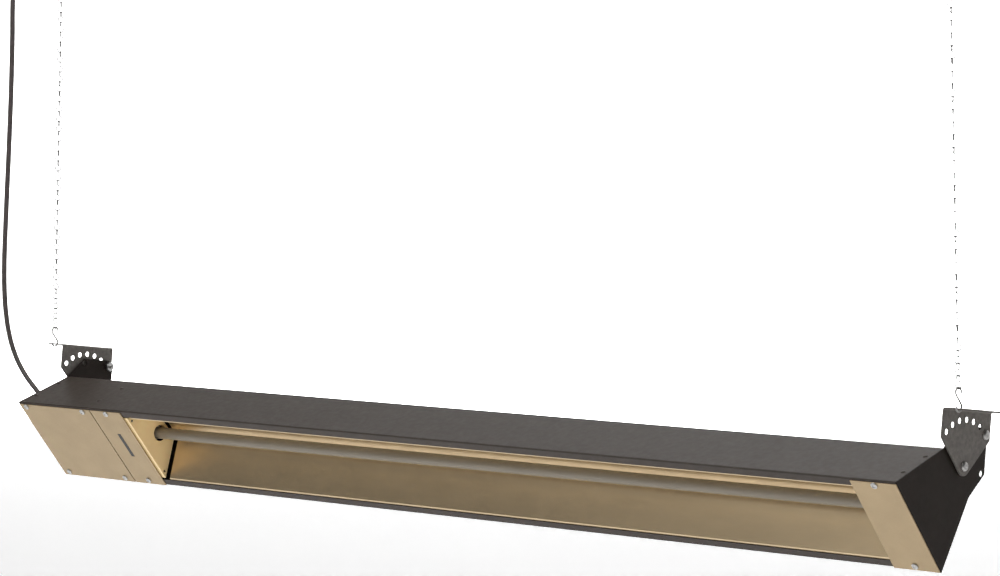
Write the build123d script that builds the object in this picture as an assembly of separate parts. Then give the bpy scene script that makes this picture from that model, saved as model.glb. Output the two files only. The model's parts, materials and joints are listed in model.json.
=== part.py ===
"""Overhead infrared strip heater that hangs from two chains. Millimetres, +Z up.

Row frame: +X runs along the heater, -Y is the side that it warms, and the origin is the middle of the
line between the two seats of the upper S-hooks, which hang on eyes in the ceiling.

Heater frame: origin on the axis of the pivot bolts, +X along the heater, +Z out of its back panel, so
that the opening faces -Z. Bracket frame: the same origin, with +Z up the bracket plates.
"""
from build123d import *
from math import acos, asin, atan2, cos, degrees, hypot, pi, radians, sin, tan
import os

# ---- driving dimensions ----
length = 1458.0            # over the outer faces of the end plates, a 57-inch class heater
open_half = 66.0           # half width of the housing at its opening
back_half = 36.0           # half width of the back panel
open_z = -96.2             # outer face of the in-turned lips
back_z = -10.5             # outer face of the back panel
shell_t = 1.0              # housing sheet
lip_width = 10.8           # in-turned lips along the opening
end_t = 1.5                # end plates
cover_t = 1.0              # gold cover plates
reflector_t = 0.6
terminal_box = 146.5       # left end of the housing to the partition
cover_width = 61.5         # each element cover
reflector_end_inset_left = 214.0
reflector_end_inset_right = 60.5
reflector_gap_left = 8.0   # between the trough and each reflector end plate
reflector_gap_right = 0.5
trough_back_z = -51.0      # flat back of the trough
trough_back_half = 21.4
trough_edge_half = 52.8    # its lips show a little inside the housing's lips
tube_z = -65.4             # axis of the quartz tube
tube_r = 7.5
tube_wall = 1.2

arc_r = 50.0               # pivot bolt to the arc of lock holes in each bracket
arc_step = 15              # degrees from hole to hole
arc_holes = 7
bolt_r = 3.175             # quarter-inch bolts
pivot_hole_r = bolt_r + 0.075
lock_hole_r = 3.5
bracket_t = 2.0
bracket_half = 44.2
bracket_top = 61.5         # top of the bent flange above the pivot
bracket_shoulder = 29.5    # where the plate starts to taper towards its tip
bracket_tip_r = 10.5
flange_out = 32.0          # reach of the flange away from the heater
washer_t = 1.6
hook_x = 20.0              # hook hole to the bracket plate
hook_strip = 3.3           # metal between the hook hole and the flange's front edge
hook_hole_r = 3.4

bracket_lean = 6.4         # the bracket tops lean back until the weight hangs under the hooks
tilt = 45.0                # lock bolts in the rear-most holes: the opening faces forwards and down
chain_lean = 2.0           # each chain leans inwards towards its top

wire_r = 1.1               # S-hooks
hook_loop_r = 5.0          # to the middle of the wire
hook_centres = 15.8
strip_drop = 2.0           # middle of the flange strip below the middle of the hook's loop
link_wire_r = 0.65
link_loop_r = 3.7
link_gap = 0.08            # clearance between links
link_count = 46
link_turn = 43.0           # the links' turn about the chain's line, clear of the hooks
turning_links = 4          # over which the turn comes in from each hook

cord_r = 3.6
cord_exit = (22.0, -24.0)  # heater-frame y, z of the strain relief on the left end plate
relief_thread_r = 6.3
relief_length = 34.0
coil_r = 39.0              # middle of the put-away turns
coil_section_r = 9.6
coil_z = -70.0             # height of its middle
coil_y = 15.5              # just behind the left chain

clearance = 0.05           # radial gap between a fastener and its hole
cut = 8.0                  # depth of the drilled holes' cutting tool

# ---- places worked out from them ----
end_x = length / 2
plate_x = end_x + washer_t                # inner face of each bracket plate
outer_x = plate_x + bracket_t
flange_front = -bracket_half
strip_y = flange_front + hook_strip / 2   # bracket frame
strip_z = bracket_top - bracket_t / 2
link_pitch = 2 * (2 * link_loop_r - link_wire_r) - link_gap
seat_drop = hook_loop_r - wire_r          # middle of a hook's loop to its seat
left_end_x = -end_x + reflector_end_inset_left
right_end_x = end_x - reflector_end_inset_right

os.makedirs("parts", exist_ok=True)
ACROSS = Plane.YZ                         # sketches drawn in y, z and extruded along +X


# ---- helpers ----
def prism(points, x0, x1):
    """A polygon in y, z, extruded from x0 to x1."""
    return Pos(X=x0) * extrude(ACROSS * make_face(Polyline(*points, close=True)), amount=x1 - x0)


def bent_sheet(points, thickness, radius, side, x0, x1):
    """Sheet metal bent along points in y, z: radius is on the face that the points lie on."""
    line = FilletPolyline(*points, radius=radius)
    section = make_face(offset(line, amount=thickness, side=side).edges())
    return Pos(X=x0) * extrude(ACROSS * section, amount=x1 - x0)


def rod(x0, x1, y, z, r):
    """A cylinder along X from x0 to x1."""
    return Pos((x0 + x1) / 2, y, z) * Rot(Y=90) * Cylinder(r, abs(x1 - x0))


def hexagon(x0, x1, y, z, across):
    """A hexagonal prism along X."""
    section = ACROSS * RegularPolygon(across / 2, 6, major_radius=False)
    return Pos(x0, y, z) * extrude(section, amount=x1 - x0)


def round_head(head_r, head_h, shank_r, shank_length):
    """A round-headed screw that sits on the origin: head up +Z, shank down."""
    dome_r = (head_r ** 2 + head_h ** 2) / (2 * head_h)
    half_way = asin(head_r / dome_r) / 2
    lines = Polyline((0, head_h), (0, -shank_length), (shank_r, -shank_length), (shank_r, 0), (head_r, 0))
    arc = ThreePointArc((head_r, 0), (dome_r * sin(half_way), head_h - dome_r * (1 - cos(half_way))),
                        (0, head_h))
    return revolve(Plane.XZ * make_face(lines.edges() + [arc.edge()]), Axis.Z)


def tube_along(points, radii, r):
    """A round tube that follows straight runs joined by tangent arcs."""
    line = FilletPolyline(*points, radius=radii)
    return sweep((line ^ 0) * Circle(r), path=line)


def corner_radii(points):
    """0.45 of the shorter run beside each corner, divided by the tangent of half the turn."""
    radii = []
    for a, b, c in zip(points, points[1:], points[2:]):
        before = Vector(b) - Vector(a)
        after = Vector(c) - Vector(b)
        half_turn = radians(before.get_angle(after)) / 2
        radii.append(0.45 * min(before.length, after.length) / tan(half_turn))
    return radii


side_run = Vector(0, open_half - back_half, back_z - open_z)
side_length = side_run.length
side_tilt = degrees(atan2(open_half - back_half, back_z - open_z))


def on_side(x, along, sign):
    """A place on a side panel's outer face: along counts from the lip's fold, local +Z points out."""
    share = along / side_length
    y = sign * (open_half - share * (open_half - back_half))
    z = open_z + share * (back_z - open_z)
    return Pos(x, y, z) * Rot(X=-sign * (90 - side_tilt))


def side_flange(x0, x1, along0, along1, sign):
    """A strip of sheet against the inner face of a side panel."""
    strip = Box(x1 - x0, along1 - along0, shell_t)
    return on_side((x0 + x1) / 2, (along0 + along1) / 2, sign) * Pos(Z=-1.5 * shell_t) * strip


def inner_section(inset, z0, z1):
    """Corners of the housing's section between two heights, inset from its outer faces."""
    sideways = inset / cos(radians(side_tilt))

    def half(z):
        share = (z - open_z) / (back_z - open_z)
        return open_half - share * (open_half - back_half) - sideways
    return [(-half(z0), z0), (half(z0), z0), (half(z1), z1), (-half(z1), z1)]


def place_bracket(shape):
    """From the bracket frame to the row frame."""
    return Pos(0, pivot_y, pivot_z) * Rot(X=-bracket_lean) * shape


def place_heater(shape):
    """From the heater frame to the row frame."""
    return place_bracket(Rot(X=-tilt) * shape)


def both_ends(shape):
    """A shape at the right end and its mirror image at the left end."""
    return [shape, mirror(shape, about=Plane.YZ)]


nodes = {}


def node(name, shape):
    """Keeps a finished sub-part: one shape, or a list of separate solids."""
    solids = shape if isinstance(shape, list) else [shape]
    pieces = [solid for item in solids for solid in item.solids()]
    nodes[name] = pieces[0] if len(pieces) == 1 else Compound(children=pieces)


# ---- hanging line: where everything lies below the origin ----
lean = radians(chain_lean)
hook_centre_x = plate_x + hook_x
chain_top = hook_centres + 2 * seat_drop         # seat of the upper hook to its lower seat
chain_run = link_count * link_pitch
drop_to_loop = chain_top + chain_run + seat_drop + hook_centres   # to the lower hook's lower loop
strip_below = drop_to_loop * cos(lean) + strip_drop
top_x = hook_centre_x - drop_to_loop * sin(lean)
swing_z = -(chain_top + wire_r) * cos(lean)
rock_z = -strip_below
lean_back = radians(bracket_lean)
pivot_y = -(strip_y * cos(lean_back) + strip_z * sin(lean_back))
pivot_z = rock_z + strip_y * sin(lean_back) - strip_z * cos(lean_back)


def s_hook():
    """An S-hook in the y, z plane: lower loop centred on the origin, its tip at the front."""
    touch = acos(hook_loop_r / (hook_centres / 2))      # where the straight leaves each loop
    side, rise = hook_loop_r * sin(touch), hook_loop_r * cos(touch)
    tip = 165
    bend = 360 - tip + 90 - degrees(touch)
    low = CenterArc((0, 0), hook_loop_r, tip, bend)
    straight = Line((side, rise), (-side, hook_centres - rise))
    high = CenterArc((0, hook_centres), hook_loop_r, 270 - degrees(touch), -bend)
    path = ACROSS * Wire([low.edge(), straight.edge(), high.edge()])
    return sweep((path ^ 0) * Circle(wire_r), path=path)


def chain_link():
    """Two loops at right angles: the upper one in the y, z plane, the lower one in the x, z plane."""
    ring = Torus(link_loop_r, link_wire_r)
    return Pos(Z=link_loop_r) * Rot(Y=90) * ring + Pos(Z=-link_loop_r) * Rot(X=90) * ring


# ---- housing ----
inner_end_x = end_x - end_t
shell_bend_r = 1.6
shell_path = [(-open_half + lip_width, open_z), (-open_half, open_z), (-back_half, back_z),
              (back_half, back_z), (open_half, open_z), (open_half - lip_width, open_z)]
shell = bent_sheet(shell_path, shell_t, shell_bend_r, Side.RIGHT, -inner_end_x, inner_end_x)

screw_y = 59.0
corner_screw_inset = 13.2
partition_screw_inset = 17.0
terminal_screw_x = [-end_x + corner_screw_inset, -end_x + terminal_box - partition_screw_inset]
left_screw_x = [-end_x + terminal_box + cover_width / 2]
right_screw_x = [end_x - cover_width / 2]
cover_screw_places = [(x, sign * screw_y) for x in terminal_screw_x + left_screw_x + right_screw_x
                      for sign in (-1, 1)]

rivet_inset = 8.6
partition_x = -end_x + terminal_box
partition_rivet_inset = 7.5
rivet_x = [-end_x + rivet_inset, partition_x - partition_rivet_inset, end_x - rivet_inset]
rivet_along = [25.5, 67.0]
rivet_places = [on_side(x, along, sign) for x in rivet_x for along in rivet_along for sign in (-1, 1)]

screw_r = 1.9
rivet_r = 1.6
for x, y in cover_screw_places:
    shell -= Pos(x, y, open_z) * Cylinder(screw_r + clearance, cut)
for place in rivet_places:
    shell -= place * Cylinder(rivet_r + clearance, cut)
node("housing_shell", place_heater(shell))


# ---- end plates: the right one is drawn, the left one is its mirror image with the cord's hole ----
ear_straight = 25.5
ear_top = 56.0
side_hole_y, side_hole_z = 31.5, 22.0
ear_hole_places = [(0, arc_r, lock_hole_r), (-side_hole_y, side_hole_z, lock_hole_r),
                   (side_hole_y, side_hole_z, lock_hole_r), (0, 0, bolt_r + clearance)]
flange_width = 15.0
flange_start = 10.0        # along a side panel, from the lip's fold
flange_stop = side_length - 8.0
overlap = 0.1              # a flange runs this far into its plate


def end_plate():
    tip_half = back_half - (ear_top - ear_straight)
    outline = [(-open_half, open_z), (open_half, open_z), (back_half, back_z), (back_half, ear_straight),
               (tip_half, ear_top), (-tip_half, ear_top), (-back_half, ear_straight), (-back_half, back_z)]
    plate = prism(outline, inner_end_x, end_x)
    for y, z, r in ear_hole_places:
        plate -= rod(inner_end_x - 1, end_x + 1, y, z, r)
    for sign in (-1, 1):
        plate += side_flange(end_x - flange_width, inner_end_x + overlap, flange_start, flange_stop, sign)
    for place in rivet_places:
        plate -= place * Cylinder(rivet_r + clearance, cut)
    return plate


right_plate, left_plate = both_ends(end_plate())
left_plate -= rod(-end_x - 1, -inner_end_x + 1, *cord_exit, relief_thread_r + 6 * clearance)
node("end_plate_right", place_heater(right_plate))
node("end_plate_left", place_heater(left_plate))


# ---- partition between the terminal box and the element chamber ----
grommet_z = -38.0
grommet_neck_r = 6.9
grommet_rim_r = 9.0
grommet_bore_r = 5.0
grommet_half = 2.5         # from each face of the partition to the rim's outer face
earth_y, earth_z = 22.0, -30.0
earth_screw_r = 1.9
side_gap = 0.45
edge_gap = 0.6
partition_face = partition_x + shell_t
partition_heights = [open_z + shell_t + edge_gap, back_z - shell_t - edge_gap]
partition = prism(inner_section(shell_t + side_gap, *partition_heights), partition_x, partition_face)
for sign in (-1, 1):
    partition += side_flange(partition_x - flange_width, partition_face, flange_start, flange_stop, sign)
partition -= rod(partition_x - 2, partition_x + 3, 0, grommet_z, grommet_neck_r + 2 * clearance)
partition -= rod(partition_x - 2, partition_x + 3, earth_y, earth_z, earth_screw_r + clearance)
for place in rivet_places:
    partition -= place * Cylinder(rivet_r + clearance, cut)
node("partition", place_heater(partition))

grommet_faces = [partition_x - grommet_half, partition_face + grommet_half]
grommet = rod(*grommet_faces, 0, grommet_z, grommet_neck_r)
grommet += rod(grommet_faces[0] + clearance, partition_x - clearance, 0, grommet_z, grommet_rim_r)
grommet += rod(partition_face + clearance, grommet_faces[1] - clearance, 0, grommet_z, grommet_rim_r)
grommet -= rod(grommet_faces[0] - 1, grommet_faces[1] + 1, 0, grommet_z, grommet_bore_r)
node("partition_grommet", place_heater(grommet))


# ---- reflector ----
inner_lip_z = open_z + shell_t
trough_lip = 9.0
trough_path = [(-trough_edge_half - trough_lip, inner_lip_z), (-trough_edge_half, inner_lip_z),
               (-trough_back_half, trough_back_z), (trough_back_half, trough_back_z),
               (trough_edge_half, inner_lip_z), (trough_edge_half + trough_lip, inner_lip_z)]
trough_bends = [1.5, 8.0, 8.0, 1.5]
trough = bent_sheet(trough_path, reflector_t, trough_bends, Side.LEFT,
                    left_end_x + reflector_gap_left, right_end_x - reflector_gap_right)
node("reflector", place_heater(trough))


def trough_section(inset, lip_inset=0):
    """The trough's own section, inset from its reflecting faces and from the plane of its lips."""
    slope = (trough_edge_half - trough_back_half) / (trough_back_z - inner_lip_z)
    sideways = inset * hypot(1, slope)
    shift = sideways - inset * slope
    edge_half = trough_edge_half - sideways - lip_inset * slope
    return [(-edge_half, inner_lip_z + lip_inset), (edge_half, inner_lip_z + lip_inset),
            (trough_back_half - shift, trough_back_z - inset),
            (-trough_back_half + shift, trough_back_z - inset)]


pan_depth = 12.0
pan_hole_r = 10.6          # the quartz tube passes through
pan_screw_y, pan_screw_z, pan_screw_r = 44.5, -91.3, 1.8


def reflector_end():
    """A pan with its face towards the tube and its flanges away from it, drawn for the right end."""
    hollow = trough_section(reflector_t, reflector_t)
    pan = prism(trough_section(0), right_end_x, right_end_x + pan_depth)
    pan -= prism(hollow, right_end_x + reflector_t, right_end_x + pan_depth + 1)
    pan -= rod(right_end_x - 1, right_end_x + 2, 0, tube_z, pan_hole_r)
    for sign in (-1, 1):
        pan -= rod(right_end_x - 1, right_end_x + 2, sign * pan_screw_y, pan_screw_z, pan_screw_r)
    return pan


right_pan = reflector_end()
left_pan = Pos(left_end_x + right_end_x, 0, 0) * mirror(right_pan, about=Plane.YZ)
node("reflector_end_right", place_heater(right_pan))
node("reflector_end_left", place_heater(left_pan))


# ---- quartz element: caps, tube, coil and studs ----
cap_r = 9.4
cap_length = 26.0
cap_recess = 8.0
cap_depth = 12.0
stud_r = 2.4
stud_out = 18.0
stud_in = 4.0              # reach of the stud into the tube
close_fit = 0.02           # radial gap of a thread in its nut


def end_cap():
    """Ceramic cup over the tube's right end, with a hole for the stud."""
    face = right_end_x + cap_recess
    cap = rod(face, face + cap_length, 0, tube_z, cap_r)
    cap -= rod(face - 1, face + cap_depth, 0, tube_z, tube_r + clearance)
    cap -= rod(face, face + cap_length + 1, 0, tube_z, stud_r + close_fit)
    return cap


def to_left(shape):
    """The same piece at the left end of the element."""
    return Pos(left_end_x + right_end_x, 0, 0) * mirror(shape, about=Plane.YZ)


cap = end_cap()
node("end_cap_right", place_heater(cap))
node("end_cap_left", place_heater(to_left(cap)))

tube_ends = [left_end_x - cap_recess - cap_depth, right_end_x + cap_recess + cap_depth]
quartz = rod(*tube_ends, 0, tube_z, tube_r) - rod(tube_ends[0] - 1, tube_ends[1] + 1, 0, tube_z,
                                                 tube_r - tube_wall)
node("quartz_tube", place_heater(quartz))

winding_r = 4.2
winding_wall = 0.35        # the wire's mass spread over the whole winding
heating = rod(tube_ends[0] + stud_in, tube_ends[1] - stud_in, 0, tube_z, winding_r)
heating -= rod(*tube_ends, 0, tube_z, winding_r - winding_wall)
node("heating_coil", place_heater(heating))

cap_end = tube_ends[1] + cap_length - cap_depth
stud_root = tube_ends[1] - stud_in
stud_collar_r = 3.2
stud_nut_t = 3.5
stud_nut_across = 8.0
nut_x = cap_end + 1.0
second_nut_x = nut_x + stud_nut_t + 1.0             # the lead's ring sits between the two nuts
stud = rod(stud_root, cap_end + stud_out, 0, tube_z, stud_r)
stud += rod(stud_root, stud_root + 2, 0, tube_z, stud_collar_r)
nuts = [hexagon(x, x + stud_nut_t, 0, tube_z, stud_nut_across)
        - rod(x - 1, x + stud_nut_t + 1, 0, tube_z, stud_r + close_fit) for x in (nut_x, second_nut_x)]
node("element_studs", [place_heater(stud), place_heater(to_left(stud))])
node("element_nuts", [place_heater(side(nut)) for nut in nuts for side in (lambda s: s, to_left)])


# ---- gold covers over the ends of the opening ----
cover_front = -63.0
cover_back = 65.2
cover_hole_r = screw_r + 0.2
plate_edge_gap = 0.8       # from the outer face of an end plate to the cover's edge
split_gap = 0.9            # from the partition line to each cover


def cover(x0, x1, screw_xs):
    plate = Pos((x0 + x1) / 2, (cover_front + cover_back) / 2, open_z - cover_t / 2)
    plate *= Box(x1 - x0, cover_back - cover_front, cover_t)
    for x in screw_xs:
        for sign in (-1, 1):
            plate -= Pos(x, sign * screw_y, open_z) * Cylinder(cover_hole_r, cut)
    return plate


node("terminal_cover", place_heater(cover(-end_x + plate_edge_gap, partition_x - split_gap,
                                          terminal_screw_x)))
node("element_cover_left", place_heater(cover(partition_x + split_gap, partition_x + cover_width,
                                              left_screw_x)))
node("element_cover_right", place_heater(cover(end_x - cover_width, end_x - plate_edge_gap,
                                               right_screw_x)))


screw_head_r = 4.1
screw_head_h = 2.5
screw_length = 8.0
screw = Rot(X=180) * round_head(screw_head_r, screw_head_h, screw_r, screw_length)
node("cover_screws", [place_heater(Pos(x, y, open_z - cover_t) * screw) for x, y in cover_screw_places])

rivet_head_r = 3.0
rivet_head_h = 1.1
rivet_tail_r = 2.4
rivet_tail_h = 0.8
rivet_tail = Pos(Z=-2 * shell_t - rivet_tail_h / 2) * Cylinder(rivet_tail_r, rivet_tail_h)
rivet = round_head(rivet_head_r, rivet_head_h, rivet_r, 2 * shell_t + rivet_tail_h) + rivet_tail
node("housing_rivets", [place_heater(place * rivet) for place in rivet_places])


# ---- terminal box: block, leads, earth screw, strain relief ----
block_x0 = -end_x + 50.0
block_x1 = -end_x + 90.0
block_y = -19.0
block_pole = 7.3           # between neighbouring poles
block_face = -25.5
block_back = back_z - shell_t
block_screw_inset = 11.0
block_screw_r = 2.0
pole_ys = [block_y + step * block_pole for step in (-1, 0, 1)]
terminal_xs = [block_x0 + block_screw_inset, block_x1 - block_screw_inset]
block = Pos((block_x0 + block_x1) / 2, block_y, (block_face + block_back) / 2)
block *= Box(block_x1 - block_x0, 3 * block_pole, block_back - block_face)
screw_places = [Pos(x, y, block_face) for x in terminal_xs for y in pole_ys]
for place in screw_places:
    block -= place * Cylinder(block_screw_r + clearance, 12)
node("terminal_block", place_heater(block))
small_screw = Rot(X=180) * round_head(2.9, 1.2, block_screw_r, 5.8)
node("terminal_screws", [place_heater(place * small_screw) for place in screw_places])

cord_y, cord_z = cord_exit
tail_end = -end_x + 22.0
relief_end = -end_x - relief_length
node("cord_inner_end", place_heater(rod(relief_end, tail_end, cord_y, cord_z, cord_r)))

core_r = 1.1
core_spread = 1.9          # middle of the cord to the middle of each core
core_turn = 11.0           # run along X in which a core crosses to its pole
lead_z = -18.0
mains = []
for step, pole_y in enumerate(pole_ys):
    angle = radians(240 - 120 * step)
    y, z = cord_y + core_spread * sin(angle), cord_z + core_spread * cos(angle)
    turn_x = tail_end + 5.5 + 3.5 * step
    route = [(tail_end, y, z), (turn_x, y, z), (turn_x + core_turn, pole_y, lead_z),
             (block_x0, pole_y, lead_z)]
    mains.append(place_heater(tube_along(route, corner_radii(route), core_r)))
node("mains_conductors", mains)

lead_r = 1.25
ring_t = 0.8
ring_r = 4.6
ring_x = (nut_x + stud_nut_t + second_nut_x) / 2
far_ring_x = left_end_x + right_end_x - ring_x


def ring(x, y, z, r, hole_r):
    """A ring terminal on a stud or screw along X."""
    return rod(x - ring_t / 2, x + ring_t / 2, y, z, r) - rod(x - 1, x + 1, y, z, hole_r)


ring_top = tube_z + ring_r - overlap
stud_hole_r = stud_r + close_fit
route = [(block_x1, pole_ys[0], lead_z), (block_x1 + 18, pole_ys[0], lead_z),
         (partition_x - 22, -2.3, grommet_z), (partition_x + 14, -2.3, grommet_z),
         (far_ring_x, 0, grommet_z - 6), (far_ring_x, 0, ring_top)]
lead = tube_along(route, corner_radii(route), lead_r)
node("element_lead", place_heater(lead + ring(far_ring_x, 0, tube_z, ring_r, stud_hole_r)))

route = [(block_x1, pole_ys[1], lead_z), (block_x1 + 26, pole_ys[1], lead_z),
         (partition_x - 14, 2.3, grommet_z), (partition_x + 10, 2.3, grommet_z),
         (partition_x + 60, 14, -26), (right_end_x - 10, 14, -27),
         (ring_x - 4, 3, -36), (ring_x, 0, -48), (ring_x, 0, ring_top)]
lead = tube_along(route, corner_radii(route), lead_r)
node("return_lead", place_heater(lead + ring(ring_x, 0, tube_z, ring_r, stud_hole_r)))

earth_ring = ring(partition_x - ring_t / 2, earth_y, earth_z, 4.2, earth_screw_r + clearance)
route = [(block_x1, pole_ys[2], lead_z), (block_x1 + 20, pole_ys[2], lead_z),
         (partition_x - 16, earth_y - 7, earth_z + 6), (partition_x - 0.5, earth_y - 4.7, earth_z)]
lead = tube_along(route, corner_radii(route), core_r)
node("earth_lead", place_heater(lead + earth_ring))

earth_head = partition_x - ring_t
earth_tip = partition_x + 9.0
earth_screw = rod(earth_head - 1.6, earth_head, earth_y, earth_z, 3.2)
earth_screw += rod(earth_head, earth_tip, earth_y, earth_z, earth_screw_r)
earth_nut = hexagon(partition_face, partition_face + 2.6, earth_y, earth_z, 7)
earth_nut -= rod(partition_x, earth_tip, earth_y, earth_z, earth_screw_r)
node("earth_screw", [place_heater(earth_screw), place_heater(earth_nut)])

relief_base = -end_x - 5.0
relief_base_r = 10.0
boot_r, boot_tip_r = 7.8, 4.9
relief_thread_end = -inner_end_x + 7.5
locknut_t = 4.5
locknut_across = 17.0
relief = rod(relief_base, -end_x, cord_y, cord_z, relief_base_r)
boot = Pos((relief_end + relief_base) / 2, cord_y, cord_z) * Rot(Y=90)
relief += boot * Cone(boot_tip_r, boot_r, relief_base - relief_end)
relief += rod(-end_x, relief_thread_end, cord_y, cord_z, relief_thread_r)
relief -= rod(relief_end - 1, relief_thread_end + 1, cord_y, cord_z, cord_r + clearance)
node("strain_relief", place_heater(relief))
locknut = hexagon(-inner_end_x, -inner_end_x + locknut_t, cord_y, cord_z, locknut_across)
locknut -= rod(-inner_end_x - 1, -inner_end_x + locknut_t + 1, cord_y, cord_z, relief_thread_r + clearance)
node("relief_locknut", place_heater(locknut))


# ---- bolts that hold the heater between the brackets ----
bolt_head_r = 5.5
bolt_head_h = 3.3
bolt_grip = 9.0            # shank beyond the end plate's inner face
nut_t = 5.6
nut_across = 11.1
washer_r = 8.0


def bolt(y, z):
    """A round-headed bolt at the right end, head outside the bracket."""
    shank_length = outer_x - inner_end_x + bolt_grip
    return Pos(outer_x, y, z) * Rot(Y=90) * round_head(bolt_head_r, bolt_head_h, bolt_r, shank_length)


def bolt_nut(y, z):
    """A hexagonal nut against the inner face of the right end plate."""
    nut = hexagon(inner_end_x - nut_t, inner_end_x, y, z, nut_across)
    return nut - rod(inner_end_x - nut_t - 1, inner_end_x + 1, y, z, bolt_r + close_fit)


def at_both_ends(name, shape):
    node(name, [place_heater(side) for side in both_ends(shape)])


at_both_ends("pivot_bolts", bolt(0, 0))
at_both_ends("pivot_nuts", bolt_nut(0, 0))
at_both_ends("lock_bolts", bolt(0, arc_r))
at_both_ends("lock_nuts", bolt_nut(0, arc_r))
washer = rod(end_x, plate_x, 0, 0, washer_r) - rod(end_x - 1, plate_x + 1, 0, 0, bolt_r + clearance)
at_both_ends("pivot_washers", washer)


# ---- brackets ----
flange_end_x = plate_x + flange_out
flange_bend_r = 3.5
hook_hole_y = flange_front + hook_strip + hook_hole_r
shoulder_reach = hypot(bracket_half, bracket_shoulder)
taper_angle = atan2(bracket_shoulder, bracket_half) - acos(bracket_tip_r / shoulder_reach)
taper_y, taper_z = bracket_tip_r * cos(taper_angle), bracket_tip_r * sin(taper_angle)


def bracket():
    """Right bracket in the bracket frame: a plate that tapers to the pivot and a flange at its top."""
    bend = [(plate_x, -bracket_tip_r - 1), (plate_x, bracket_top), (flange_end_x, bracket_top)]
    line = FilletPolyline(*bend, radius=flange_bend_r)
    section = make_face(offset(line, amount=bracket_t, side=Side.RIGHT).edges())
    sheet = Pos(Y=bracket_half) * extrude(Plane.XZ * section, amount=2 * bracket_half)
    over_top = bracket_top + 1
    sides = Polyline((-taper_y, taper_z), (-bracket_half, bracket_shoulder), (-bracket_half, over_top),
                     (bracket_half, over_top), (bracket_half, bracket_shoulder), (taper_y, taper_z))
    tip = ThreePointArc((taper_y, taper_z), (0, -bracket_tip_r), (-taper_y, taper_z))
    outline = make_face(sides.edges() + tip.edges())
    plate = sheet & Pos(X=plate_x - 1) * extrude(ACROSS * outline, amount=flange_out + 2)
    plate -= rod(plate_x - 1, outer_x + 1, 0, 0, pivot_hole_r)
    for step in range(arc_holes):
        angle = radians(arc_step * (step - arc_holes // 2))
        plate -= rod(plate_x - 1, outer_x + 1, arc_r * sin(angle), arc_r * cos(angle), lock_hole_r)
    for y in (hook_hole_y, -hook_hole_y):
        plate -= Pos(plate_x + hook_x, y, bracket_top) * Cylinder(hook_hole_r, 4 * bracket_t)
    return plate


right_bracket, left_bracket = both_ends(bracket())
node("bracket_right", place_bracket(right_bracket))
node("bracket_left", place_bracket(left_bracket))


# ---- S-hooks and chains: drawn down a line below the right seat, then leaned inwards ----
def hang(shape):
    """From the line down the right chain to the row frame."""
    return Pos(X=top_x) * Rot(Y=-chain_lean) * shape


hook = s_hook()
hooks = both_ends(hang(Pos(Z=-seat_drop - hook_centres) * Rot(Z=90) * hook))
node("s_hook_upper_right", hooks[0])
node("s_hook_upper_left", hooks[1])
hooks = both_ends(hang(Pos(Z=-drop_to_loop) * hook))
node("s_hook_lower_right", hooks[0])
node("s_hook_lower_left", hooks[1])

link = chain_link()
first_link = -chain_top + link_gap / 2 - (2 * link_loop_r - link_wire_r)


def chain(turn):
    """The links of the right chain, turned by up to an angle about their line."""
    shares = [min(1, step / turning_links, (link_count - 1 - step) / turning_links)
              for step in range(link_count)]
    return [hang(Pos(Z=first_link - step * link_pitch) * Rot(Z=turn * share) * link)
            for step, share in enumerate(shares)]


node("chain_right", chain(link_turn))
node("chain_left", [mirror(item, about=Plane.YZ) for item in chain(-link_turn)])


# ---- power cord: a loose rise beside the left chain, then a coil tied to the chain ----
exit_y = place_heater(Pos(relief_end, cord_y, cord_z)).position.Y
exit_z = place_heater(Pos(relief_end, cord_y, cord_z)).position.Z
coil_x = -(top_x - coil_z * tan(lean)) - coil_r
cord_points = [(relief_end, exit_y, exit_z), (-790, exit_y, exit_z), (-822, 30.2, -736.2),
               (-858.3, 30.2, -708.2), (-883.2, 30.1, -672.8), (-895.8, 29.9, -627.8),
               (-899.1, 29.8, -569.8), (-892.8, 29.7, -481.8), (-885.5, 29.6, -391.7),
               (-880, 29.5, -311.6), (-876, 28.9, -239.5), (-873.6, 27.2, -189.4), (-864, 24, -152),
               (-845, 20.5, -117), (-825, 17, -84), (-807, coil_y, -59)]
cord_radii = corner_radii(cord_points)
cord = tube_along(cord_points, cord_radii, cord_r)
node("power_cord", cord)
print("cord radii", [round(radius) for radius in cord_radii])
print("cord volume over section", round(cord.volume / (pi * cord_r ** 2), 1))

node("cord_coil", Pos(coil_x, coil_y, coil_z) * Rot(X=90) * Torus(coil_r, coil_section_r))
tie_y = coil_y - (coil_section_r + link_loop_r) / 2 + 1.0
tie_half = (coil_section_r + 0.6, (coil_y + coil_section_r - tie_y) + 0.8)
tie_t = 1.2
tie_width = 5.0
tie_corner_r = 6.9
band = RectangleRounded(2 * (tie_half[0] + tie_t), 2 * (tie_half[1] + tie_t), tie_corner_r + tie_t)
band -= RectangleRounded(2 * tie_half[0], 2 * tie_half[1], tie_corner_r)
tie_x = coil_x + coil_r
tie = Pos(tie_x, tie_y, coil_z - tie_width / 2) * extrude(band, amount=tie_width)
tie += Pos(tie_x - tie_half[0] - 3.2, tie_y, coil_z) * Box(4.5, 7, 7)
node("coil_tie", tie)

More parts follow.
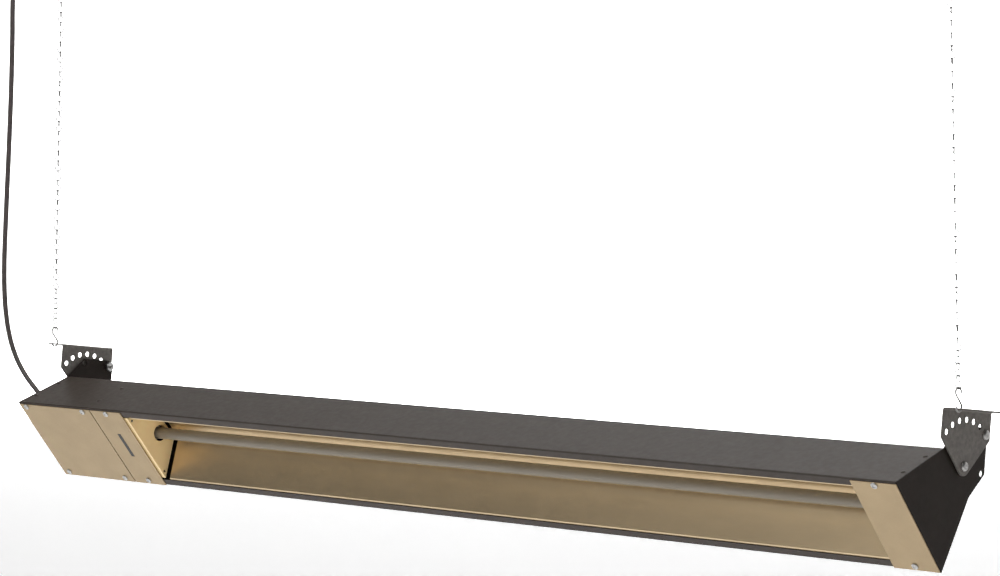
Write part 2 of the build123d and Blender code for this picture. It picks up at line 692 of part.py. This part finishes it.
plug_y = coil_y + 5.0
plug_top = coil_z - 38.0
plug_neck = 8.0
plug_length = 24.0         # below the neck
plug_r = 12.5
cord_start = coil_z - 6.0
node("plug_cord", Pos(tie_x, plug_y, (cord_start + plug_top) / 2) * Cylinder(cord_r, cord_start - plug_top))
plug = Pos(tie_x, plug_y, plug_top - plug_neck - plug_length / 2) * Cylinder(plug_r, plug_length)
plug += Pos(tie_x, plug_y, plug_top - plug_neck / 2) * Cone(plug_r - 2, 5.0, plug_neck)
plug = fillet(plug.edges().group_by(Axis.Z)[0], 2.5)
node("plug_body", plug)
plug_face = plug_top - plug_neck - plug_length
blade_x = 6.35             # half of the half-inch spacing
blades = [Pos(tie_x + side * blade_x, plug_y, plug_face - 8) * Box(1.5, 6.3, 16) for side in (-1, 1)]
blades.append(Pos(tie_x, plug_y + 7.5, plug_face - 9.5) * Cylinder(2.4, 19))
node("plug_blades", blades)

for name, shape in nodes.items():
    export_step(shape, f"parts/{name}.step")
print(f"{len(nodes)} nodes; hanging line {strip_below:.1f}, pivot {pivot_y:.2f} {pivot_z:.2f}")
print(f"seat x {top_x:.2f}, swing {swing_z:.2f}, rock {rock_z:.2f}, cord exit {exit_y:.2f} {exit_z:.2f}")
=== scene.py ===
"""Looks of a chain-hung infrared strip heater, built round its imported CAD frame. Metres, row frame."""
import json
from math import cos, pi, radians, sin

import bmesh
import bpy
from mathutils import Matrix, Vector


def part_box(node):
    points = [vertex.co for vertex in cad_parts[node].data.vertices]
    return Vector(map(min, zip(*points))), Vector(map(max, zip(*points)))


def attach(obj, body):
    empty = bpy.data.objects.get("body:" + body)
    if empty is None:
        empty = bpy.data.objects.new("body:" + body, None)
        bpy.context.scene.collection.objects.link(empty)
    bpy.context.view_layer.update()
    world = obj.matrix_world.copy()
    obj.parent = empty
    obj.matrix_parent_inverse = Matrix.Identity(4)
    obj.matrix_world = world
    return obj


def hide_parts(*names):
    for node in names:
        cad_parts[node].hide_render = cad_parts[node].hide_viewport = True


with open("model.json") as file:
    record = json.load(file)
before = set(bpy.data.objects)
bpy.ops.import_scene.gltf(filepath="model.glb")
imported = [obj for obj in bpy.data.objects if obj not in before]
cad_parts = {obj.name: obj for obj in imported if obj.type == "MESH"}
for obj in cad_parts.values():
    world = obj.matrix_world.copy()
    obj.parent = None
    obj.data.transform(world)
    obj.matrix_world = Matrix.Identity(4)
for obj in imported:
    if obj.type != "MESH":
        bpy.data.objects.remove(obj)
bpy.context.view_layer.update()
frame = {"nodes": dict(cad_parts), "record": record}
MM = 0.001
joints = {joint["name"]: joint for joint in frame["record"]["behaviour"]["joints"]}
mounts = {mount["name"]: mount for mount in frame["record"]["mounts"]}

# ---- places shared with the CAD ----
bracket_lean = radians(6.4)
heater_turn = bracket_lean + radians(45)
chain_lean = radians(2)
pivot = Vector(joints["heater_tilt"]["pos_m"])
HEATER = Matrix.Translation(pivot) @ Matrix.Rotation(-heater_turn, 4, "X")
seat_x = mounts["hook_seat_right"]["pos_m"][0]
half_length = 0.729           # to the end plates' outer faces
cover_face = -0.0972          # heater-frame z of the gold covers' faces
cord_r = 3.6 * MM
cord_hole = Vector((-half_length, 0.022, -0.024))     # in the left end plate, in the heater's frame
relief_reach = Vector((0.034, 0, 0))                  # the strain relief's length outside the plate


# ---- camera ----
camera_place = (2.83140, -2.91256, -0.36706)
camera_forward = Vector((-0.68534, 0.72665, -0.04773)).normalized()
camera_up = Vector((-0.03464, 0.03294, 0.99886))
camera_lens = 121.11


def add_camera():
    data = bpy.data.cameras.new("camera")
    data.sensor_width = 36
    data.lens = camera_lens
    data.shift_x = -0.0007
    data.shift_y = 0.001
    data.clip_start = 0.1
    camera = bpy.data.objects.new("camera", data)
    bpy.context.collection.objects.link(camera)
    right = camera_forward.cross(camera_up).normalized()
    up = right.cross(camera_forward)
    turn = Matrix((right, up, -camera_forward)).transposed().to_4x4()
    camera.matrix_world = Matrix.Translation(camera_place) @ turn
    bpy.context.scene.camera = camera


add_camera()
bpy.context.scene.view_settings.view_transform = "Standard"


# ---- material tools ----
def new_material(name, color, roughness, metallic=0.0, specular=0.5):
    material = bpy.data.materials.new(name)
    material.use_nodes = True
    shader = material.node_tree.nodes["Principled BSDF"]
    shader.inputs["Base Color"].default_value = (*color, 1)
    shader.inputs["Roughness"].default_value = roughness
    shader.inputs["Metallic"].default_value = metallic
    shader.inputs["Specular IOR Level"].default_value = specular
    return material, shader


def add_node(material, kind, inputs=None, **settings):
    node = material.node_tree.nodes.new(kind)
    for key, value in settings.items():
        setattr(node, key, value)
    for key, value in (inputs or {}).items():
        node.inputs[key].default_value = value
    return node


def link(material, source, target):
    material.node_tree.links.new(source, target)


def noise(material, scale, detail=3.0, roughness=0.55, stretch=(1, 1, 1)):
    """Noise over object coordinates, in features per metre, drawn out where stretch is small."""
    place = add_node(material, "ShaderNodeTexCoord")
    mapping = add_node(material, "ShaderNodeMapping")
    mapping.inputs["Scale"].default_value = stretch
    texture = add_node(material, "ShaderNodeTexNoise",
                       {"Scale": scale, "Detail": detail, "Roughness": roughness})
    link(material, place.outputs["Object"], mapping.inputs["Vector"])
    link(material, mapping.outputs["Vector"], texture.inputs["Vector"])
    return texture.outputs["Fac"]


def ramp(material, value, stops):
    """A colour ramp: stops are (place, colour) pairs."""
    node = add_node(material, "ShaderNodeValToRGB")
    while len(node.color_ramp.elements) < len(stops):
        node.color_ramp.elements.new(0.5)
    for element, (place, color) in zip(node.color_ramp.elements, stops):
        element.position = place
        element.color = (*color, 1)
    link(material, value, node.inputs["Fac"])
    return node.outputs["Color"]


def spread(material, value, low, high, from_low=0.3, from_high=0.7):
    """Maps a texture's middle range to low..high."""
    node = add_node(material, "ShaderNodeMapRange",
                    {"From Min": from_low, "From Max": from_high, "To Min": low, "To Max": high})
    link(material, value, node.inputs["Value"])
    return node.outputs["Result"]


def vary_color(material, shader, value, dark, light):
    link(material, ramp(material, value, [(0.3, dark), (0.7, light)]), shader.inputs["Base Color"])


def vary_roughness(material, shader, value, low, high):
    link(material, spread(material, value, low, high), shader.inputs["Roughness"])


def add_bump(material, shader, heights, distance, strength=1.0, edge=0.0):
    """Bump from one or more textures: each next one rides on the one before, the first on rounded edges."""
    normal = None
    if edge:
        normal = add_node(material, "ShaderNodeBevel", {"Radius": edge}, samples=6).outputs["Normal"]
    for height in heights:
        bump = add_node(material, "ShaderNodeBump", {"Strength": strength, "Distance": distance})
        link(material, height, bump.inputs["Height"])
        if normal is not None:
            link(material, normal, bump.inputs["Normal"])
        normal = bump.outputs["Normal"]
    link(material, normal, shader.inputs["Normal"])


def scaled(color, factor):
    return tuple(channel * factor for channel in color)


# ---- materials ----
def enamel(name, color, roughness, specular=0.25, patches=45, contrast=0.07):
    """Baked bronze enamel: a fine orange peel, slight mottling."""
    material, shader = new_material(name, color, roughness, specular=specular)
    dark, light = scaled(color, 1 - contrast), scaled(color, 1 + contrast)
    vary_color(material, shader, noise(material, patches, 5), dark, light)
    vary_roughness(material, shader, noise(material, 140, 3), roughness - 0.03, roughness + 0.04)
    add_bump(material, shader, [noise(material, 1500, 2), noise(material, 320, 2)], 0.000015, edge=0.0005)
    return material


def anodised(name, color, roughness, grain, stretch=(1, 1, 1), bump=0.5, metallic=0.85):
    """Gold anodised sheet with a fine satin grain."""
    material, shader = new_material(name, color, roughness, metallic)
    dark, light = scaled(color, 0.94), scaled(color, 1.05)
    vary_color(material, shader, noise(material, 30, 4, stretch=stretch), dark, light)
    satin = noise(material, grain, 4, stretch=stretch)
    vary_roughness(material, shader, satin, roughness - 0.04, roughness + 0.05)
    add_bump(material, shader, [noise(material, grain, 3, stretch=stretch)], 0.00003, bump)
    return material


def plated(name, color, roughness):
    """Zinc-plated steel: crystalline patches and small handling marks."""
    material, shader = new_material(name, color, roughness, 1.0)
    vary_color(material, shader, noise(material, 600, 4), scaled(color, 0.78), scaled(color, 1.12))
    vary_roughness(material, shader, noise(material, 900, 3), roughness - 0.08, roughness + 0.12)
    add_bump(material, shader, [noise(material, 1400, 3)], 0.00004, 0.5)
    return material


def moulded(name, color, roughness, scale, bump=0.00005):
    """Moulded rubber or plastic: faint grain and dust."""
    material, shader = new_material(name, color, roughness, specular=0.35)
    vary_color(material, shader, noise(material, scale / 6, 4), scaled(color, 0.8), scaled(color, 1.25))
    vary_roughness(material, shader, noise(material, scale / 3, 3), roughness - 0.06, roughness + 0.08)
    add_bump(material, shader, [noise(material, scale, 3)], bump)
    return material


def frosted_quartz():
    """Milky quartz that lets a little light through."""
    material, shader = new_material("frosted_quartz", (0.25, 0.215, 0.165), 0.34, specular=0.5)
    shader.inputs["Transmission Weight"].default_value = 0.2
    shader.inputs["IOR"].default_value = 1.46
    streaks = noise(material, 60, 4, stretch=(0.2, 1, 1))
    vary_color(material, shader, streaks, (0.235, 0.20, 0.15), (0.265, 0.23, 0.18))
    vary_roughness(material, shader, noise(material, 200, 3), 0.31, 0.38)
    add_bump(material, shader, [noise(material, 900, 2)], 0.00002, 0.2)
    return material


def braided_sleeve():
    """Woven glass-fibre sleeving."""
    material, shader = new_material("braided_sleeve", (0.70, 0.66, 0.58), 0.8, specular=0.2)
    place = add_node(material, "ShaderNodeTexCoord")
    weave = add_node(material, "ShaderNodeTexWave", {"Scale": 420, "Distortion": 2.0, "Detail": 2.0})
    link(material, place.outputs["Object"], weave.inputs["Vector"])
    vary_color(material, shader, weave.outputs["Fac"], (0.55, 0.50, 0.42), (0.80, 0.76, 0.68))
    add_bump(material, shader, [weave.outputs["Fac"]], 0.0002, 0.7)
    return material


paint = (0.046, 0.0355, 0.0285)
gold = (0.39, 0.296, 0.180)
MATERIALS = {
    "housing": enamel("housing_enamel", paint, 0.46),
    # End plates: the housing's brown enamel darkened to about half, as painted shade for the dim side they
    # face.
    "end_plate": enamel("end_plate_shade_darkened_enamel", (0.020, 0.014, 0.011), 0.5, 0.12),
    "bracket": enamel("bracket_enamel", (0.145, 0.131, 0.118), 0.44, patches=260, contrast=0.2),
    "cover": anodised("cover_gold", gold, 0.42, 700),
    "reflector": anodised("reflector_gold", (0.68, 0.535, 0.340), 0.34, 420, (0.25, 1, 1), bump=0.3),
    # Reflector end plates: the reflector's gold made paler and nearly non-metallic, a painted bright
    # reflection on these faces.
    "end_gold": anodised("reflector_end_light_brightened_gold", (1.0, 0.76, 0.41), 0.34, 500, bump=0.2, metallic=0.1),
    "zinc": plated("zinc", (0.52, 0.52, 0.51), 0.28),
    "bolt_zinc": plated("bolt_zinc", (0.40, 0.39, 0.38), 0.28),
    "chain_zinc": plated("chain_zinc", (0.15, 0.145, 0.14), 0.36),
    "wire": plated("resistance_wire", (0.30, 0.27, 0.25), 0.5),
    "brass": plated("brass", (0.70, 0.52, 0.24), 0.3),
    "quartz": frosted_quartz(),
    "ceramic": moulded("ceramic", (0.70, 0.66, 0.58), 0.7, 500),
    "rubber": moulded("black_rubber", (0.072, 0.059, 0.056), 0.48, 900),
    "block": moulded("terminal_block", (0.62, 0.58, 0.50), 0.45, 600),
    "sleeve": braided_sleeve(),
    "label": moulded("label_black", (0.03, 0.028, 0.026), 0.4, 1500, 0.00001),
}

NODE_MATERIALS = {
    "housing": ["housing_shell", "housing_rivets"],
    "end_plate": ["end_plate_left", "end_plate_right"],
    "bracket": ["bracket_left", "bracket_right"],
    "cover": ["terminal_cover", "element_cover_left", "element_cover_right"],
    "reflector": ["reflector"],
    "end_gold": ["reflector_end_left", "reflector_end_right"],
    "zinc": ["partition", "element_studs", "element_nuts", "earth_screw", "relief_locknut",
             "pivot_washers"],
    "bolt_zinc": ["s_hook_upper_left", "s_hook_upper_right", "s_hook_lower_left", "s_hook_lower_right"],
    "brass": ["terminal_screws", "plug_blades"],
    "quartz": ["quartz_tube"],
    "ceramic": ["end_cap_left", "end_cap_right"],
    "rubber": ["partition_grommet", "cord_inner_end", "coil_tie"],
    "block": ["terminal_block"],
    "sleeve": ["mains_conductors", "element_lead", "return_lead", "earth_lead"],
}


def repaint_nodes():
    for key, names in NODE_MATERIALS.items():
        for name in names:
            for slot in frame["nodes"][name].material_slots:
                slot.link = "OBJECT"
                slot.material = MATERIALS[key]


repaint_nodes()


# ---- mesh tools ----
def add_piece(name, mesh_data, material, body, replaces=()):
    """An object from (vertices, faces) in the row frame that rides on a body."""
    mesh = bpy.data.meshes.new(name)
    mesh.from_pydata(mesh_data[0], [], mesh_data[1])
    builder = bmesh.new()
    builder.from_mesh(mesh)
    bmesh.ops.recalc_face_normals(builder, faces=builder.faces)
    builder.to_mesh(mesh)
    builder.free()
    mesh.shade_smooth()
    mesh.set_sharp_from_angle(angle=radians(38))
    piece = bpy.data.objects.new(name, mesh)
    bpy.context.collection.objects.link(piece)
    piece.data.materials.append(MATERIALS[material])
    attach(piece, body)
    if replaces:
        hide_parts(*replaces)
    return piece


def moved(mesh_data, matrix):
    return [matrix @ Vector(v) for v in mesh_data[0]], mesh_data[1]


def joined(parts):
    vertices, faces = [], []
    for part_vertices, part_faces in parts:
        shift = len(vertices)
        vertices += part_vertices
        faces += [[index + shift for index in face] for face in part_faces]
    return vertices, faces


def rings_to_mesh(rings, caps=True):
    """Joins rings of equally many points with quads and closes the two ends."""
    vertices = [Vector(point) for ring in rings for point in ring]
    count = len(rings[0])
    faces = [[row * count + i, row * count + (i + 1) % count, (row + 1) * count + (i + 1) % count,
              (row + 1) * count + i] for row in range(len(rings) - 1) for i in range(count)]
    if caps:
        faces += [list(range(count)), list(range(len(vertices) - count, len(vertices)))]
    return vertices, faces


def lathe(profile, segments=48, shape=lambda angle, height, radius: radius, caps=True):
    """Turns (height, radius) pairs about +Z. shape may vary the radius with the angle."""
    rings = []
    for height, radius in profile:
        angles = [2 * pi * i / segments for i in range(segments)]
        rings.append([(shape(a, height, radius) * cos(a), shape(a, height, radius) * sin(a), height)
                      for a in angles])
    return rings_to_mesh(rings, caps)


def sweep(points, radius, sides=8):
    """A round tube through points, with its ends closed."""
    points = [Vector(point) for point in points]
    tangents = [(after - before).normalized() for before, after
                in zip([points[0]] + points[:-1], points[1:] + [points[-1]])]
    side = tangents[0].orthogonal().normalized()
    rings = []
    for point, tangent in zip(points, tangents):
        side = (side - tangent * side.dot(tangent)).normalized()
        other = tangent.cross(side)
        rings.append([point + radius * (cos(a) * side + sin(a) * other)
                      for a in (2 * pi * i / sides for i in range(sides))])
    return rings_to_mesh(rings)


def smooth_path(keys, steps):
    """Catmull-Rom points through keys."""
    keys = [Vector(key) for key in keys]
    padded = [2 * keys[0] - keys[1]] + keys + [2 * keys[-1] - keys[-2]]
    points = []
    for a, b, c, d in zip(padded, padded[1:], padded[2:], padded[3:]):
        for step in range(steps):
            t = step / steps
            points.append(0.5 * (2 * b + (c - a) * t + (2 * a - 5 * b + 4 * c - d) * t ** 2
                                 + (3 * b - a - 3 * c + d) * t ** 3))
    return points + [keys[-1]]


# ---- power cord: the route down to the strain relief, then the tied coil ----
exit_point = HEATER @ (cord_hole - relief_reach)
coil_r = 39 * MM
coil_z = -70 * MM
coil_y = 15.5 * MM
coil_x = -(seat_x - coil_z * sin(chain_lean) / cos(chain_lean)) - coil_r
plug_y = coil_y + 5 * MM
plug_top = coil_z - 38 * MM
cord_route = [tuple(exit_point), (-0.790, exit_point.y, exit_point.z), (-0.822, 0.0302, -0.7362),
              (-0.8583, 0.0302, -0.7082), (-0.8832, 0.0301, -0.6728), (-0.8958, 0.0299, -0.6278),
              (-0.8991, 0.0298, -0.5698), (-0.8928, 0.0297, -0.4818), (-0.8855, 0.0296, -0.3917),
              (-0.880, 0.0295, -0.3116), (-0.876, 0.0289, -0.2395), (-0.8736, 0.0272, -0.1894),
              (-0.864, 0.024, -0.152), (-0.845, 0.0205, -0.117), (-0.825, 0.017, -0.084)]


def coil_turns(start, total, step):
    """Turns that wind clockwise while they creep a fifth of the way round the bundle's middle in each."""
    bundle = 6.3 * MM
    turns_per_creep = 5
    outside = 1.03            # the spline runs a little inside its points
    points = []
    for travelled in range(0, total + 1, step):
        angle = -radians(travelled / turns_per_creep)
        reach = (coil_r + bundle * cos(angle)) * outside
        turn = radians(start - travelled)
        points.append((coil_x + reach * cos(turn), coil_y + bundle * sin(angle), coil_z + reach * sin(turn)))
    return points


def add_cord():
    """The cord as one spline: its route down to the relief, its coil, and the tail into the plug."""
    turns = coil_turns(start=150, total=1560, step=26)
    tail_x = coil_x + coil_r
    tail = [(tail_x + 0.005, plug_y, coil_z + 0.006), (tail_x + 0.003, plug_y, coil_z - 0.010),
            (tail_x + 0.0005, plug_y, coil_z - 0.024), (tail_x, plug_y, plug_top)]
    points = cord_route + turns + tail
    curve = bpy.data.curves.new("power_cord_line", "CURVE")
    curve.dimensions = "3D"
    spline = curve.splines.new("NURBS")
    spline.points.add(len(points) - 1)
    for place, point in zip(spline.points, points):
        place.co = (*point, 1)
    spline.order_u = 3
    spline.use_endpoint_u = True
    spline.resolution_u = 6
    curve.bevel_depth = cord_r
    curve.bevel_resolution = 5
    curve.use_fill_caps = True
    piece = bpy.data.objects.new("power_cord_flex", curve)
    bpy.context.collection.objects.link(piece)
    curve.materials.append(MATERIALS["rubber"])
    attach(piece, "hanging_chains")
    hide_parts("power_cord", "cord_coil", "plug_cord")
    return piece


cord = add_cord()


def add_plug():
    """A round moulded plug with grip ribs, hanging under the coil with its blades down."""
    grip_low, grip_high, grip_depth, grip_count = -27, -10.5, 0.035, 14
    profile = [(0, 3.7), (0, 4.7), (-1.5, 5.1), (-5, 7.4), (-8, 10.2), (grip_high, 11.9), (-14, 12.4),
               (grip_low, 12.4), (-30.5, 12.0), (-31.7, 11.0), (-32, 9.8)]

    def grips(angle, height, radius):
        held = grip_low <= height <= grip_high
        return radius * (1 - grip_depth * max(0, cos(grip_count * angle)) * held)
    turned = lathe([(h * MM, r * MM) for h, r in profile], 112,
                   lambda a, h, r: grips(a, h / MM, r / MM) * MM)
    place = Matrix.Translation((coil_x + coil_r, plug_y, plug_top))
    return add_piece("plug_moulding", moved(turned, place), "rubber", "hanging_chains", ["plug_body"])


def add_strain_relief():
    """A clamp nut and a ribbed, tapered boot outside, a threaded shank inside."""
    outer = [(-9, 5.0), (-9, 6.0)]
    outer += [(-8.6 + 0.6 * i, 6.3 if i % 2 else 5.8) for i in range(14)]
    outer += [(0, 6.3), (0, 9.7), (0.4, 10), (4.4, 10), (5, 9.3), (5, 7.9)]
    ribs, first_rib, rib_pitch, rib_r, rib_taper = 6, 6.2, 4.5, 7.7, 0.5
    for rib in range(ribs):
        start = first_rib + rib * rib_pitch
        radius = rib_r - rib * rib_taper
        outer += [(start, radius - 0.9), (start + 1.4, radius - 1.0), (start + 1.7, radius - 0.1),
                  (start + 3.2, radius - 0.35), (start + 3.5, radius - 1.2)]
    outer += [(33.4, 4.9), (34, 4.5), (34, 3.7), (20, 3.7)]
    place = HEATER @ Matrix.Translation(cord_hole) @ Matrix.Rotation(-pi / 2, 4, "Y")
    turned = lathe([(h * MM, r * MM) for h, r in outer], 40)
    return add_piece("strain_relief_boot", moved(turned, place), "rubber", "heater", ["strain_relief"])


plug = add_plug()
relief = add_strain_relief()


# ---- chains: figure-eight links of round wire with a quarter twist at the waist ----
def link_mesh():
    """One link: an upper loop and a lower one at right angles, from a single length of wire."""
    loop, wire_r = 3.7, 0.65
    upper = [(0, loop * cos(radians(a)), loop + loop * sin(radians(a))) for a in range(-62, 240, 20)]
    lower = [(loop * cos(radians(a)), 0, -loop + loop * sin(radians(a))) for a in range(60, -242, -20)]
    keys = upper + [(0.25, -0.25, 0)] + lower
    path = smooth_path([tuple(MM * value for value in key) for key in keys], 3)
    return sweep(path, wire_r * MM, 8)


def add_chain(name, sign):
    """Links down a leaning line, which turn about it over the first and last few and wobble a little."""
    count, pitch, first = 46, 13.42, -30.31
    chain_turn, turning_links, wobble = radians(43), 4, radians(5)
    one = link_mesh()
    line = Matrix.Translation((sign * seat_x, 0, 0)) @ Matrix.Rotation(-sign * chain_lean, 4, "Y")
    links = []
    for i in range(count):
        turned = min(1.0, i / turning_links, (count - 1 - i) / turning_links)
        twist = chain_turn * turned + wobble * sin(1.7 * i)
        place = Matrix.Translation((0, 0, (first - i * pitch) * MM)) @ Matrix.Rotation(twist, 4, "Z")
        links.append(moved(one, line @ place))
    add_piece(f"{name}_links", joined(links), "chain_zinc", "hanging_chains", [name])


add_chain("chain_left", -1)
add_chain("chain_right", 1)


# ---- screws and rivets ----
def recessed_head(radius, height, edge):
    """A pan head with a cross recess: rings of a dome, pressed in where the driver goes."""
    segments, rows, bulge = 72, 22, 2.6
    arm, half_width, flare, depth_max = 2.5, 0.42, 0.1, 1.3
    rings = []
    for row in range(rows + 1):
        r = radius * (1 - row / rows) + 0.02
        dome = height - edge - (height - edge) * (r / radius) ** bulge + edge
        ring = []
        for i in range(segments):
            a = 2 * pi * i / segments
            x, y = r * cos(a), r * sin(a)
            across, along = sorted((abs(x), abs(y)))
            inside = across < half_width + flare * (arm - along)
            depth = depth_max * max(0.0, 1 - along / arm) if inside else 0.0
            ring.append((x, y, dome - depth))
        rings.append(ring)
    base = [(radius * cos(2 * pi * i / segments), radius * sin(2 * pi * i / segments), 0)
            for i in range(segments)]
    vertices, faces = rings_to_mesh([base] + rings)
    return [v * MM for v in vertices], faces


def add_cover_screws():
    """Self-tapping screws in pairs along the covers' edges, each pair turned its own way."""
    screw_y = 0.059
    head = recessed_head(4.0, 2.5, 1.1)
    shank_profile = [(-8, 0.6), (-7.2, 1.6)]
    shank_profile += [(-6.8 + 0.5 * i, 1.85 if i % 2 else 1.55) for i in range(12)]
    shank = lathe([(h * MM, r * MM) for h, r in shank_profile + [(0.1, 1.85)]], 20)
    left = -half_length
    xs = [left + 0.0132, left + 0.1295, left + 0.17725, half_length - 0.03075]
    screws = []
    for place, x in enumerate(xs):
        for sign in (-1, 1):
            spin = Matrix.Rotation(radians(37 * place + 20 * sign), 4, "Z")
            out = Matrix.Rotation(pi, 4, "X")
            seat = HEATER @ Matrix.Translation((x, sign * screw_y, cover_face)) @ out @ spin
            screws += [moved(head, seat), moved(shank, seat)]
    add_piece("cover_screw_set", joined(screws), "zinc", "heater", ["cover_screws"])


add_cover_screws()


# ---- bolts and nuts that hold the heater between its brackets ----
def hex_nut(across, height, bore):
    """A nut with chamfered corners that stands on the origin."""
    flat = across / 2
    corner = flat / cos(pi / 6)
    profile = [(0, bore), (0, flat * 1.02), (0.5, corner), (height - 0.5, corner), (height, flat * 1.02),
               (height, bore + 0.3), (height - 0.3, bore), (0, bore)]

    def hexagonal(angle, level, radius):
        return min(radius, flat / cos(angle % (pi / 3) - pi / 6))
    return lathe(profile, 60, hexagonal, caps=False)


def threaded_bolt(head_r, head_h, shank_r, plain, length):
    """A round-headed bolt on the origin: head up, shank down, threaded beyond its plain part."""
    steps = 9
    dome = [(0.5 + (head_h - 0.5) * sin(pi / 2 * i / steps), head_r * cos(pi / 2 * i / steps) ** 0.55)
            for i in range(steps)]
    pitch = 1.27
    thread = [(-plain - pitch * i / 2, shank_r if i % 2 else shank_r - 0.55)
              for i in range(1, int(2 * (length - plain - 1) / pitch))]
    profile = [(-length, shank_r - 1.2), (-length + 0.5, shank_r - 0.5)] + thread[::-1]
    profile += [(-plain, shank_r), (0, shank_r), (0, head_r), (0.4, head_r)] + dome + [(head_h, 0.3)]
    return lathe(profile, 40)


def add_bolts():
    """The pivot and lock bolts: heads outside the brackets, nuts inside the end plates' ears."""
    outer_x, inner_x, lock_height = 732.6, 727.5, 50
    bolt = threaded_bolt(5.5, 3.3, 3.175, 6.0, outer_x - inner_x + 9)
    nut = hex_nut(11.1, 5.6, 2.9)
    for name, height in (("pivot", 0), ("lock", lock_height)):
        bolts, nuts = [], []
        for sign in (-1, 1):
            out = Matrix.Rotation(sign * pi / 2, 4, "Y")
            seat = Matrix.Translation((sign * outer_x * MM, 0, height * MM)) @ out
            inward = Matrix.Rotation(-sign * pi / 2, 4, "Y")
            grip = Matrix.Translation((sign * inner_x * MM, 0, height * MM)) @ inward
            spin = Matrix.Rotation(radians(11 + 17 * sign), 4, "Z")
            bolts.append(moved(bolt, HEATER @ seat @ Matrix.Scale(MM, 4)))
            nuts.append(moved(nut, HEATER @ grip @ spin @ Matrix.Scale(MM, 4)))
        add_piece(f"{name}_bolt_set", joined(bolts), "bolt_zinc", "heater", [f"{name}_bolts"])
        add_piece(f"{name}_nut_set", joined(nuts), "zinc", "heater", [f"{name}_nuts"])


add_bolts()


# ---- heating coil inside the tube ----
def add_heating_coil():
    """A helix of wire along the tube, in the box of its CAD node."""
    low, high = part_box("heating_coil")
    middle = (Vector(low) + Vector(high)) / 2
    turns, per_turn, radius, wire_r = 400, 10, 3.7 * MM, 0.45 * MM
    total = turns * per_turn
    path = [(low[0] + (high[0] - low[0]) * i / total, middle.y + radius * cos(2 * pi * i / per_turn),
             middle.z + radius * sin(2 * pi * i / per_turn)) for i in range(total + 1)]
    add_piece("heating_helix", sweep(path, wire_r, 5), "wire", "heater", ["heating_coil"])


add_heating_coil()


# ---- blank label strip on the left element cover ----
def add_label():
    """A thin blank strip across the left element cover."""
    label_x, label_y = 0.1777, -0.004
    half = (3.2 * MM, 20 * MM, 0.12 * MM)
    corners = [(x, y, z) for z in (0, -half[2]) for x, y in
               ((-half[0], -half[1]), (half[0], -half[1]), (half[0], half[1]), (-half[0], half[1]))]
    faces = [[0, 1, 2, 3], [4, 5, 6, 7], [0, 1, 5, 4], [1, 2, 6, 5], [2, 3, 7, 6], [3, 0, 4, 7]]
    place = HEATER @ Matrix.Translation((-half_length + label_x, label_y, cover_face))
    add_piece("blank_label", moved(([Vector(c) for c in corners], faces), place), "label", "heater")


add_label()


# ---- floor and light ----
def add_stage_piece(name, vertices, faces, glow):
    """One piece of pale studio paper that gives off a little light of its own."""
    mesh = bpy.data.meshes.new(name)
    mesh.from_pydata(vertices, [], faces)
    mesh.shade_smooth()
    material, shader = new_material(name + "_paper", (0.93, 0.93, 0.93), 0.9, specular=0.1)
    shader.inputs["Emission Color"].default_value = (1, 1, 1, 1)
    shader.inputs["Emission Strength"].default_value = glow
    mesh.materials.append(material)
    piece = bpy.data.objects.new(name, mesh)
    bpy.context.collection.objects.link(piece)


def add_floor():
    """A floor that sweeps up into a wall well behind the object, and a dimmer floor and low wall far out."""
    reach, width, back, level, wall, bend = 14.0, 30.0, 12.0, -1.7, 11.0, 1.5
    arc = [(back + bend * sin(radians(a)), level + bend * (1 - cos(radians(a)))) for a in range(0, 91, 10)]
    line = [(-reach, level)] + arc + [(back + bend, wall)]
    vertices = [(x, y, z) for y, z in line for x in (-width, width)]
    faces = [[2 * i, 2 * i + 1, 2 * i + 3, 2 * i + 2] for i in range(len(line) - 1)]
    add_stage_piece("floor", vertices, faces, 0.45)
    far, low, far_wall, segments = 60.0, level - 0.05, 9.0, 72
    ring = [(far * cos(2 * pi * i / segments), far * sin(2 * pi * i / segments)) for i in range(segments)]
    vertices = [(x, y, low) for x, y in ring] + [(x, y, low + far_wall) for x, y in ring]
    faces = [list(range(segments))]
    faces += [[i, (i + 1) % segments, segments + (i + 1) % segments, segments + i]
              for i in range(segments)]
    add_stage_piece("far_floor", vertices, faces, 0.15)


def add_area(name, place, target, size, power):
    """A white panel lamp at a place, aimed at a target, that no camera sees."""
    data = bpy.data.lights.new(name, "AREA")
    data.shape = "RECTANGLE"
    data.size, data.size_y = size
    data.energy = power
    light = bpy.data.objects.new(name, data)
    bpy.context.collection.objects.link(light)
    aim = (Vector(target) - Vector(place)).to_track_quat("-Z", "Y")
    light.matrix_world = Matrix.Translation(place) @ aim.to_matrix().to_4x4()
    light.visible_camera = False


def add_light():
    world = bpy.data.worlds.new("studio")
    bpy.context.scene.world = world
    world.use_nodes = True
    background = world.node_tree.nodes["Background"]
    background.inputs["Color"].default_value = (1, 1, 1, 1)
    background.inputs["Strength"].default_value = 0.06
    centre = (0, 0, -0.7)
    add_area("overhead", (-0.8, 0.6, 2.2), centre, (4.0, 2.5), 54)
    add_area("floor_wash", (0, -1.5, 1.8), (0, -2.5, -1.7), (4.0, 1.5), 66)
    add_area("front", (-0.93, -3.17, 0.24), centre, (1.6, 0.8), 6)
    add_area("backdrop", (-9.5, 7.0, 1.2), (-13.0, 13.5, -0.1), (9.0, 4.0), 2900)


add_floor()
add_light()
